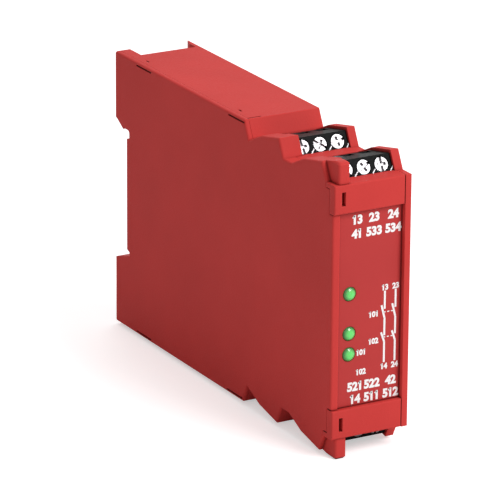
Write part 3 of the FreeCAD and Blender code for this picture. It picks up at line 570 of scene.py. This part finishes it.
class RELAY_OT_lamps(Operator):
    """Fit a domed green lens over each lamp"""

    bl_idname = "relay.lamps"
    bl_label = "Fit the lamp lenses"

    dome_steps = 12

    def lens_profile(self, low, high):
        """The dome, its side and its foot, from the size of the plain lamp."""
        radius = (high.x - low.x) / 2
        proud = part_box("front_plate")[0].y - low.y
        bulge = (radius * radius + proud * proud) / (2 * proud)
        rim = math.asin(radius / bulge)
        angles = [rim * step / self.dome_steps for step in range(self.dome_steps + 1)]
        dome = [(bulge * math.sin(a), low.y + bulge * (1 - math.cos(a))) for a in angles]
        return dome + [(radius, high.y), (0, high.y)]

    def execute(self, context):
        epoxy = lens_epoxy(linear_of(context.scene.relay_colours.lens))
        for name in ("lamp_power", "lamp_channel_one", "lamp_channel_two"):
            low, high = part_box(name)
            shape = turned_shape(self.lens_profile(low, high))
            middle = Vector(((low.x + high.x) / 2, 0, (low.z + high.z) / 2))
            bmesh.ops.translate(shape, verts=shape.verts, vec=middle)
            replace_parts(mount(name + "_lens", shape, epoxy), name)
        return {"FINISHED"}


# ---------------------------------------------------------------- latch and boards
def folded_path(reach, low_z, rise, folds, turn_steps=8):
    """The middle line of a strip folded to and fro: level runs joined by half-round turns."""
    points = [Vector((-reach, low_z))]
    radius = rise / 2
    for fold in range(folds):
        side = 1 if fold % 2 == 0 else -1
        middle_z = low_z + (fold + 0.5) * rise
        for step in range(turn_steps + 1):
            angle = math.pi * (step / turn_steps - 0.5)
            x = side * (reach - radius + radius * math.cos(angle))
            points.append(Vector((x, middle_z + radius * math.sin(angle))))
    last_side = 1 if folds % 2 == 0 else -1
    return points + [Vector((last_side * reach, low_z + folds * rise))]


def strip_shape(points, middle_x, thickness, low_y, high_y):
    """A strip of even thickness along (x, z) points, as wide as the two Y planes are apart."""
    shape = bmesh.new()
    rings = []
    for index, point in enumerate(points):
        ahead = points[min(index + 1, len(points) - 1)] - points[max(index - 1, 0)]
        aside = Vector((-ahead.y, ahead.x)).normalized() * thickness / 2
        ring = []
        for edge, y in ((1, low_y), (1, high_y), (-1, high_y), (-1, low_y)):
            place = point + edge * aside
            ring.append(shape.verts.new((middle_x + place.x, y, place.y)))
        rings.append(ring)
    for first, last in zip(rings, rings[1:]):
        for corner in range(4):
            after = (corner + 1) % 4
            shape.faces.new((first[corner], first[after], last[after], last[corner]))
    shape.faces.new(rings[0])
    shape.faces.new(reversed(rings[-1]))
    bmesh.ops.recalc_face_normals(shape, faces=shape.faces)
    return shape


class RELAY_OT_latch(Operator):
    """Finish the rail latch and fit its spring"""

    bl_idname = "relay.latch"
    bl_label = "Finish the rail latch"

    folds = 8
    strip_thickness = 0.55 * MM
    slide = "rail_latch_slide"

    def fit_spring(self, steel):
        """A folded strip between the fixed peg and the latch."""
        low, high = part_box("latch_spring")
        length = high.z - low.z
        rise = (length - self.strip_thickness) / self.folds
        reach = (high.x - low.x - self.strip_thickness) / 2
        path = folded_path(reach, low.z + self.strip_thickness / 2, rise, self.folds)
        middle_x = (low.x + high.x) / 2
        shape = strip_shape(path, middle_x, self.strip_thickness, low.y, high.y)
        spring = mount("folded_spring", shape, steel)
        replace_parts(spring, "latch_spring")
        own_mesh(spring)

    def execute(self, context):
        colours = context.scene.relay_colours
        # Acetal, moulded: dark, dense and slightly waxy, because it slides in the housing.
        acetal = moulded_plastic(
            "latch_acetal",
            linear_of(colours.latch),
            grain=0.5 * MM,
            depth=0.03 * MM,
            roughness=0.4,
            edge=0.2 * MM,
            ior=1.48,
            gloss=0.3,
        )
        dress(nodes_named("rail_latch"), acetal)
        # Rolled spring steel strip, folded cold: grey, with fine lines along the strip.
        steel = plated_metal(
            "spring_rolled_steel",
            linear_of(colours.spring),
            roughness=0.3,
            mark=0.2 * MM,
            depth=0.01 * MM,
        )
        self.fit_spring(steel)
        return {"FINISHED"}


def board_laminate(mask):
    """Glass-epoxy laminate under solder mask: green, with paler bands where copper runs below."""
    material, tree = start_material("board_glass_epoxy")
    # Tracks are drawn 1 mm wide and about 6 mm apart, coarser than real ones, so that they show.
    pitch = 6 * MM
    place = add_node(tree, "TexCoord")
    sized = add_node(
        tree,
        "Mapping",
        inputs={"Vector": place.outputs["Object"], "Scale": [1.0, 1 / pitch, 1 / pitch]},
    )
    tracks = add_node(
        tree,
        "TexVoronoi",
        {"distance": "MANHATTAN"},
        {"Vector": sized.outputs["Vector"], "Scale": 1.0},
    )
    # Where the board turns to copper, as distances from the middle of a cell.
    bare, covered = 0.32, 0.36
    span = {"From Min": bare, "From Max": covered, "To Min": 0.0, "To Max": 1.0}
    copper = add_node(tree, "MapRange", inputs={"Value": tracks.outputs["Distance"], **span})
    base = add_node(
        tree,
        "Mix",
        {"data_type": "RGBA"},
        {"Factor": copper.outputs["Result"], "A": mask, "B": shade(mask, 1.7)},
    )
    surface = add_node(
        tree,
        "BsdfPrincipled",
        inputs={"Base Color": base.outputs["Result"], "Roughness": 0.3, "IOR": 1.55},
    )
    add_node(tree, "OutputMaterial", inputs={"Surface": surface.outputs["BSDF"]})
    return material


class RELAY_OT_boards(Operator):
    """Finish the boards and the parts on them"""

    bl_idname = "relay.boards"
    bl_label = "Finish the boards"

    def execute(self, context):
        colours = context.scene.relay_colours
        dress(nodes_named("main_board", "lamp_board"), board_laminate(linear_of(colours.mask)))
        # Glass-filled polyester, moulded and sealed: dark grey and dull.
        case = moulded_plastic(
            "relay_polyester_case",
            linear_of(colours.relay_case),
            grain=0.6 * MM,
            depth=0.03 * MM,
            roughness=0.45,
            edge=0.3 * MM,
            ior=1.56,
            gloss=0.4,
        )
        dress(nodes_named("switching_relay"), case)
        # Epoxy moulding compound: near black, with a fine sandy surface from its silica.
        chip = moulded_plastic(
            "chip_epoxy",
            linear_of(colours.chip),
            grain=0.2 * MM,
            depth=0.02 * MM,
            roughness=0.55,
            edge=0.1 * MM,
            ior=1.55,
            gloss=0.4,
        )
        dress(nodes_named("logic_chip"), chip)
        # Polybutylene case, moulded and potted: dark blue and glossy.
        capacitor = moulded_plastic(
            "capacitor_polybutylene",
            linear_of(colours.capacitor),
            grain=2.0 * MM,
            depth=0.02 * MM,
            roughness=0.22,
            edge=0.4 * MM,
            ior=1.55,
            gloss=0.5,
        )
        dress(nodes_named("capacitor"), capacitor)
        return {"FINISHED"}


# ---------------------------------------------------------------- print on the front plate
def screen_ink(color):
    """Two-part screen ink, printed: opaque white, matt, with a printed film's faint unevenness."""
    material, tree = start_material("screen_ink")
    weave = speckle(tree, 0.35 * MM, 0.0, 1.0)
    tint = add_node(
        tree, "Mix", {"data_type": "RGBA"}, {"Factor": weave, "A": shade(color, 0.95), "B": color}
    )
    surface = add_node(
        tree,
        "BsdfPrincipled",
        inputs={"Base Color": tint.outputs["Result"], "Roughness": 0.5, "IOR": 1.5},
    )
    add_node(tree, "OutputMaterial", inputs={"Surface": surface.outputs["BSDF"]})
    return material


def digit_mesh(digit, stroke):
    """One digit as a flat mesh in the XY plane, with thickened strokes."""
    curve = bpy.data.curves.new("digit", "FONT")
    curve.body = digit
    curve.offset = stroke
    # One unit thick in all, so that it can be scaled to the ink's thickness.
    curve.extrude = 0.5
    curve.resolution_u = 4
    holder = bpy.data.objects.new("digit", curve)
    bpy.context.scene.collection.objects.link(holder)
    bpy.context.view_layer.update()
    graph = bpy.context.evaluated_depsgraph_get()
    mesh = bpy.data.meshes.new_from_object(holder.evaluated_get(graph))
    bpy.data.objects.remove(holder)
    bpy.data.curves.remove(curve)
    return mesh


class PlatePrint:
    """Ink on the front plate: X is measured from the plate's middle, Z up from its lower edge."""

    # Shares of a digit's height: the width of its cell, and the flag that tops a plain stem.
    cell_share = 0.62
    flag_reach = 0.24
    flag_drop = 0.2
    flag_width = 0.17

    def __init__(self, relief):
        low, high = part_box("front_plate")
        self.middle_x = (low.x + high.x) / 2
        self.low_z = low.z
        self.front_y = low.y
        self.relief = relief
        self.shape = bmesh.new()

    def spot(self, x, z):
        """A place on the plate's face."""
        return Vector((self.middle_x + x, self.front_y, self.low_z + z))

    def digit(self, digit, x, z, height, stroke):
        """One digit about its middle, and a flag on a 1, which the plain font leaves out."""
        mesh = digit_mesh(digit, stroke)
        xs = [vertex.co.x for vertex in mesh.vertices]
        ys = [vertex.co.y for vertex in mesh.vertices]
        scale = height / (max(ys) - min(ys))
        centre = Vector(((max(xs) + min(xs)) / 2, (max(ys) + min(ys)) / 2, 0))
        matrix = (
            Matrix.Translation(self.spot(x, z))
            @ Matrix.Rotation(math.radians(90), 4, "X")
            @ Matrix.Diagonal((scale, scale, 2 * self.relief, 1))
            @ Matrix.Translation(-centre)
        )
        mesh.transform(matrix)
        self.shape.from_mesh(mesh)
        bpy.data.meshes.remove(mesh)
        if digit == "1":
            top = z + height * (0.5 - self.flag_width / 2)
            tip = (x - height * self.flag_reach, top - height * self.flag_drop)
            self.line(tip, (x, top), height * self.flag_width)

    def write(self, digits, x, z, height, stroke):
        """A number centred at a place, each digit in a cell of its own."""
        pitch = height * self.cell_share
        for index, digit in enumerate(digits):
            self.digit(digit, x + (index - (len(digits) - 1) / 2) * pitch, z, height, stroke)

    def line(self, start, end, width):
        """A straight inked line between two places."""
        first, last = self.spot(*start), self.spot(*end)
        along = last - first
        turn = Matrix((along.normalized(), Vector((0, 1, 0)), along.normalized().cross((0, 1, 0))))
        box = (
            Matrix.Translation((first + last) / 2)
            @ turn.transposed().to_4x4()
            @ Matrix.Diagonal((along.length, 2 * self.relief, width, 1))
        )
        bmesh.ops.create_cube(self.shape, size=1.0, matrix=box)


class RELAY_OT_numbers(Operator):
    """Print the plain terminal numbers"""

    bl_idname = "relay.numbers"
    bl_label = "Print the terminal numbers"

    columns = (-3.85 * MM, 1.15 * MM, 6.75 * MM)
    rows = (
        (50.05 * MM, ("13", "23", "24")),
        (46.3 * MM, ("41", "533", "534")),
        (5.1 * MM, ("521", "522", "42")),
        (1.65 * MM, ("14", "511", "512")),
    )

    def execute(self, context):
        scene = context.scene
        sizes = scene.relay_sizes
        plate = PlatePrint(sizes.ink_relief)
        for z, numbers in self.rows:
            for x, number in zip(self.columns, numbers):
                plate.write(number, x, z, sizes.digit_height, sizes.digit_stroke)
        ink = screen_ink(linear_of(scene.relay_colours.ink))
        mount("terminal_numbers", plate.shape, ink)
        return {"FINISHED"}


class RELAY_OT_diagram(Operator):
    """Print the contact diagram and the channel numbers"""

    bl_idname = "relay.diagram"
    bl_label = "Print the contact diagram"

    # Each line: its X, the number above it and the number below it.
    lines = ((4.65 * MM, "13", "14"), (7.85 * MM, "23", "24"))
    top_z = 29.6 * MM
    low_z = 10.2 * MM
    top_label_gap = 0.95 * MM
    low_label_gap = 1.05 * MM
    # Each switch: where its line ends, how far its blade reaches above that, where it closes.
    switches = ((24.7 * MM, 1.1 * MM, 22.2 * MM), (17.5 * MM, 0.95 * MM, 15.8 * MM))
    blade_reach = 0.95 * MM
    dash_shares = (0.05, 0.4, 0.75)
    dash_length = 0.6 * MM
    dash_rise = 0.4 * MM
    dash_width_share = 0.5
    # Channel numbers beside the switches and beside the lamps: X and Z of each.
    channels = (
        ("101", 1.4 * MM, 23.8 * MM),
        ("102", 1.4 * MM, 16.5 * MM),
        ("101", -2.2 * MM, 14.1 * MM),
        ("102", -2.2 * MM, 8.8 * MM),
    )

    def draw_line(self, plate, x, width):
        """One line of two switches in series."""
        start = self.top_z
        for end, above, closed in self.switches:
            plate.line((x, start), (x, end), width)
            plate.line((x - self.blade_reach, end + above), (x, closed), width)
            start = closed
        plate.line((x, start), (x, self.low_z), width)

    def link_blades(self, plate, width):
        """Short dashes that join the blades of a pair of switches."""
        left, right = (x - self.blade_reach / 2 for x, _, _ in self.lines)
        for end, _, closed in self.switches:
            z = (end + closed) / 2 + self.dash_rise
            for share in self.dash_shares:
                dash = left + share * (right - left)
                plate.line((dash, z), (dash + self.dash_length, z), width)

    def execute(self, context):
        scene = context.scene
        sizes = scene.relay_sizes
        plate = PlatePrint(sizes.ink_relief)
        small = (sizes.small_digit_height, sizes.digit_stroke)
        for x, above, below in self.lines:
            self.draw_line(plate, x, sizes.line_width)
            plate.write(above, x, self.top_z + self.top_label_gap, *small)
            plate.write(below, x, self.low_z - self.low_label_gap, *small)
        self.link_blades(plate, self.dash_width_share * sizes.line_width)
        for number, x, z in self.channels:
            plate.write(number, x, z, *small)
        ink = screen_ink(linear_of(scene.relay_colours.ink))
        mount("contact_diagram", plate.shape, ink)
        return {"FINISHED"}


# ---------------------------------------------------------------- stage
SENSOR_WIDTH = 36.0
# Where the camera looks, and how far the picture's middle is shifted, as shares of its width.
VIEW_TARGET = Vector((0.0, -2.0 * MM, 50.9 * MM))
VIEW_SHIFT_X, VIEW_SHIFT_Y = -0.0224, -0.0906
VIEW_END = 20.0
FLOOR_REACH = 6.0
# The lamps: where they point, and the place and size of each.
RELAY_MIDDLE = (0.0, 0.0, 40 * MM)
KEY_PLACE, KEY_SIZE = (0.35, -0.75, 0.75), 0.5
TOP_PLACE, TOP_SIZE = (0.1, 0.3, 1.0), 0.6
# The top lamp's power, as a share of the key lamp's.
TOP_SHARE = 0.4


def camera_axes(stage):
    """The camera's right, up and back directions."""
    azimuth = math.radians(stage.azimuth)
    elevation = math.radians(stage.elevation)
    roll = math.radians(stage.roll)
    level = math.cos(elevation)
    back = Vector((math.sin(azimuth) * level, -math.cos(azimuth) * level, math.sin(elevation)))
    right = (-back).cross((0, 0, 1)).normalized()
    up = right.cross(-back)
    return (
        math.cos(roll) * right + math.sin(roll) * up,
        math.cos(roll) * up - math.sin(roll) * right,
        back,
    )


def add_camera(stage):
    """A long lens at the relay's front left, a little above it."""
    data = bpy.data.cameras.new("view")
    data.lens = stage.lens
    data.sensor_width = SENSOR_WIDTH
    data.shift_x = VIEW_SHIFT_X
    data.shift_y = VIEW_SHIFT_Y
    data.clip_end = VIEW_END
    camera = bpy.data.objects.new("view", data)
    right, up, back = camera_axes(stage)
    place = Matrix((right, up, back)).transposed().to_4x4()
    camera.matrix_world = Matrix.Translation(VIEW_TARGET + stage.distance * back) @ place
    bpy.context.scene.collection.objects.link(camera)
    bpy.context.scene.camera = camera


def add_area_light(name, place, target, size, power):
    """A square soft lamp that points at a target."""
    data = bpy.data.lights.new(name, "AREA")
    data.shape = "SQUARE"
    data.size = size
    data.energy = power
    lamp = bpy.data.objects.new(name, data)
    direction = Vector(target) - Vector(place)
    lamp.rotation_euler = direction.to_track_quat("-Z", "Y").to_euler()
    lamp.location = place
    bpy.context.scene.collection.objects.link(lamp)


def add_world(fill):
    """Soft light from all round, seen as white straight, in a reflection and through glass."""
    world = bpy.data.worlds.new("studio")
    world.use_nodes = True
    tree = world.node_tree
    tree.nodes.clear()
    path = add_node(tree, "LightPath")
    seen = path.outputs["Is Camera Ray"]
    for ray in ("Is Glossy Ray", "Is Transmission Ray"):
        either = add_node(tree, "Math", {"operation": "MAXIMUM"}, {0: seen, 1: path.outputs[ray]})
        seen = either.outputs[0]
    soft = add_node(tree, "Background", inputs={"Color": linear("#FFFFFF"), "Strength": fill})
    white = add_node(tree, "Background", inputs={"Color": linear("#FFFFFF"), "Strength": 1.0})
    light = add_node(tree, "MixShader", inputs={0: seen, 1: soft.outputs[0], 2: white.outputs[0]})
    add_node(tree, "OutputWorld", inputs={"Surface": light.outputs[0]})
    bpy.context.scene.world = world


def floor_paper():
    """Matt white paper that keeps the shadow and otherwise melts into the background."""
    material, tree = start_material("floor_paper")
    paper = add_node(tree, "BsdfDiffuse", inputs={"Color": linear("#F7F7F7")})
    glow = add_node(tree, "Emission", inputs={"Color": linear("#FFFFFF"), "Strength": 0.5})
    lit = add_node(tree, "AddShader", inputs={0: paper.outputs[0], 1: glow.outputs[0]})
    path = add_node(tree, "LightPath")
    seen = add_node(
        tree,
        "MixShader",
        inputs={0: path.outputs["Is Camera Ray"], 1: paper.outputs[0], 2: lit.outputs[0]},
    )
    add_node(tree, "OutputMaterial", inputs={"Surface": seen.outputs[0]})
    return material


def add_floor():
    """A wide pale floor under the relay."""
    mesh = bpy.data.meshes.new("floor")
    signs = ((-1, -1), (1, -1), (1, 1), (-1, 1))
    corners = [(x * FLOOR_REACH, y * FLOOR_REACH, 0) for x, y in signs]
    mesh.from_pydata(corners, [], [(0, 1, 2, 3)])
    mesh.materials.append(floor_paper())
    floor = bpy.data.objects.new("floor", mesh)
    bpy.context.scene.collection.objects.link(floor)


class RELAY_OT_stage(Operator):
    """Set up the floor, the light and the camera"""

    bl_idname = "relay.stage"
    bl_label = "Set up the stage"

    def execute(self, context):
        stage = context.scene.relay_stage
        add_floor()
        add_world(stage.fill)
        add_area_light("key", KEY_PLACE, RELAY_MIDDLE, KEY_SIZE, stage.key_power)
        add_area_light("top", TOP_PLACE, RELAY_MIDDLE, TOP_SIZE, TOP_SHARE * stage.key_power)
        add_camera(stage)
        context.scene.view_settings.view_transform = "Standard"
        return {"FINISHED"}


class RELAY_PT_panel(Panel):
    """The relay's steps and values"""

    bl_label = "Safety relay"
    bl_idname = "RELAY_PT_panel"
    bl_space_type = "VIEW_3D"
    bl_region_type = "UI"
    bl_category = "Safety relay"

    def draw(self, context):
        layout = self.layout
        for operator in OPERATORS:
            layout.operator(operator.bl_idname)
        scene = context.scene
        for group in (scene.relay_colours, scene.relay_sizes, scene.relay_stage):
            box = layout.box()
            for name in group.bl_rna.properties.keys():
                if name not in ("rna_type", "name"):
                    box.prop(group, name)


OPERATORS = (
    RELAY_OT_housing,
    RELAY_OT_front_plate,
    RELAY_OT_terminals,
    RELAY_OT_lamps,
    RELAY_OT_glint_bars,
    RELAY_OT_latch,
    RELAY_OT_boards,
    RELAY_OT_numbers,
    RELAY_OT_diagram,
    RELAY_OT_stage,
)
GROUPS = (RelayColours, RelaySizes, RelayStage)


def register():
    for cls in GROUPS + OPERATORS + (RELAY_PT_panel,):
        bpy.utils.register_class(cls)
    bpy.types.Scene.relay_colours = PointerProperty(type=RelayColours)
    bpy.types.Scene.relay_sizes = PointerProperty(type=RelaySizes)
    bpy.types.Scene.relay_stage = PointerProperty(type=RelayStage)


def unregister():
    del bpy.types.Scene.relay_stage
    del bpy.types.Scene.relay_sizes
    del bpy.types.Scene.relay_colours
    for cls in reversed(GROUPS + OPERATORS + (RELAY_PT_panel,)):
        bpy.utils.unregister_class(cls)


def main():
    """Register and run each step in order."""
    register()
    for operator in OPERATORS:
        group, name = operator.bl_idname.split(".")
        getattr(getattr(bpy.ops, group), name)()


if __name__ == "__main__":
    main()
